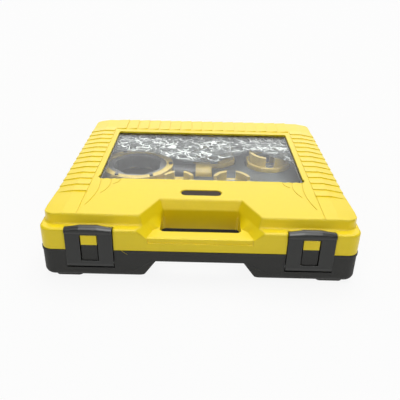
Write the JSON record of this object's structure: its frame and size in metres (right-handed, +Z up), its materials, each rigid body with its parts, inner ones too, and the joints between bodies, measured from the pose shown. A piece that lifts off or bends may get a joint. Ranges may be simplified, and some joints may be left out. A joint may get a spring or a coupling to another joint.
{
  "type": "pipe threading die set in carry case",
  "caption": "Latched carry case with a hinged, windowed lid, holding pipe threading die heads, a ratchet head and its split handle.",
  "frame": {"origin": "middle of the footprint of the closed case, at the level of its feet", "axes": "+X to the right seen from the handle side, +Y from the handle side to the hinge side, +Z up through the lid"},
  "size_m": [0.4036, 0.4006, 0.0863],
  "materials": {
    "lid_yellow": "moulded, semi-gloss",
    "base_black": "fine-grained, matt",
    "latch_black": "smooth, satin",
    "tray_grey": "formed sheet, satin",
    "mat_black": "flat foam, matt",
    "zinc_grey": "zinc plated, dulled",
    "retainer_black": "satin",
    "clear_pane": "clear, polished",
    "clear_film": "clear, crinkled",
    "badge_dark": "satin",
    "tool_yellow": "paint over casting",
    "dark_steel": "oiled black oxide",
    "bright_steel": "turned",
    "pin_steel": "zinc plated",
    "spring_steel": "drawn wire",
    "screw_black": "black oxide",
    "tube_black": "satin powder coat",
    "grip_rubber": "matt, ribbed"
  },
  "bodies": {
    "base": {"base_shell": "base_black", "latch_pins": "pin_steel", "hinge_pins": "pin_steel", "tool_tray": "tray_grey", "tray_walls": "tray_grey", "tray_supports": "tray_grey", "floor_mat": "mat_black", "protective_film": "clear_film", "die_head_dn8_body": "tool_yellow", "die_head_dn8_chasers": "dark_steel", "die_head_dn8_cover": "zinc_grey", "die_head_dn8_screws": "pin_steel", "die_head_dn10_body": "tool_yellow", "die_head_dn10_chasers": "dark_steel", "die_head_dn10_cover": "zinc_grey", "die_head_dn10_screws": "pin_steel", "die_head_dn15_body": "tool_yellow", "die_head_dn15_chasers": "dark_steel", "die_head_dn15_cover": "zinc_grey", "die_head_dn15_screws": "pin_steel", "die_head_dn20_body": "tool_yellow", "die_head_dn20_chasers": "dark_steel", "die_head_dn20_cover": "zinc_grey", "die_head_dn20_screws": "pin_steel", "die_head_dn25_body": "tool_yellow", "die_head_dn25_chasers": "dark_steel", "die_head_dn25_cover": "zinc_grey", "die_head_dn25_screws": "pin_steel", "die_head_dn32_body": "tool_yellow", "die_head_dn32_chasers": "dark_steel", "die_head_dn32_cover": "zinc_grey", "die_head_dn32_screws": "pin_steel", "ratchet_housing": "tool_yellow", "ratchet_socket_tube": "dark_steel", "ratchet_socket_collar": "tool_yellow", "ratchet_cover": "tool_yellow", "ratchet_screws": "screw_black", "pawl_spring": "spring_steel", "handle_lower": "tube_black", "handle_coupler": "tube_black", "handle_upper": "tube_black", "handle_grip": "grip_rubber"},
    "lid": {"lid_shell": "lid_yellow", "window_pane": "clear_pane", "window_retainer": "retainer_black", "window_screws": "pin_steel", "badge_plate": "badge_dark"},
    "latch_left": {"latch_left": "latch_black"},
    "latch_right": {"latch_right": "latch_black"},
    "drive_ring": {"ratchet_drive_ring": "dark_steel"},
    "pawl": {"ratchet_pawl": "bright_steel", "pawl_knob": "bright_steel"}
  },
  "joints": [
    {"name": "lid_hinge", "type": "hinge", "parent": "base", "child": "lid", "pos_m": [0, 0.1958, 0.043], "axis": [-1, 0, 0], "range_deg": [0, 110]},
    {"name": "latch_left_hinge", "type": "hinge", "parent": "base", "child": "latch_left", "pos_m": [-0.1385, -0.1933, 0.023], "axis": [1, 0, 0], "range_deg": [0, 100]},
    {"name": "latch_right_hinge", "type": "hinge", "parent": "base", "child": "latch_right", "pos_m": [0.1385, -0.1933, 0.023], "axis": [1, 0, 0], "range_deg": [0, 100]},
    {"name": "drive_ring_spin", "type": "hinge", "parent": "base", "child": "drive_ring", "pos_m": [-0.105, 0.0295, 0.0495], "axis": [0, 0, 1], "continuous": true},
    {"name": "pawl_pull", "type": "slide", "parent": "base", "child": "pawl", "axis": [0, 1, 0], "range_m": [0, 0.0035]}
  ]
}
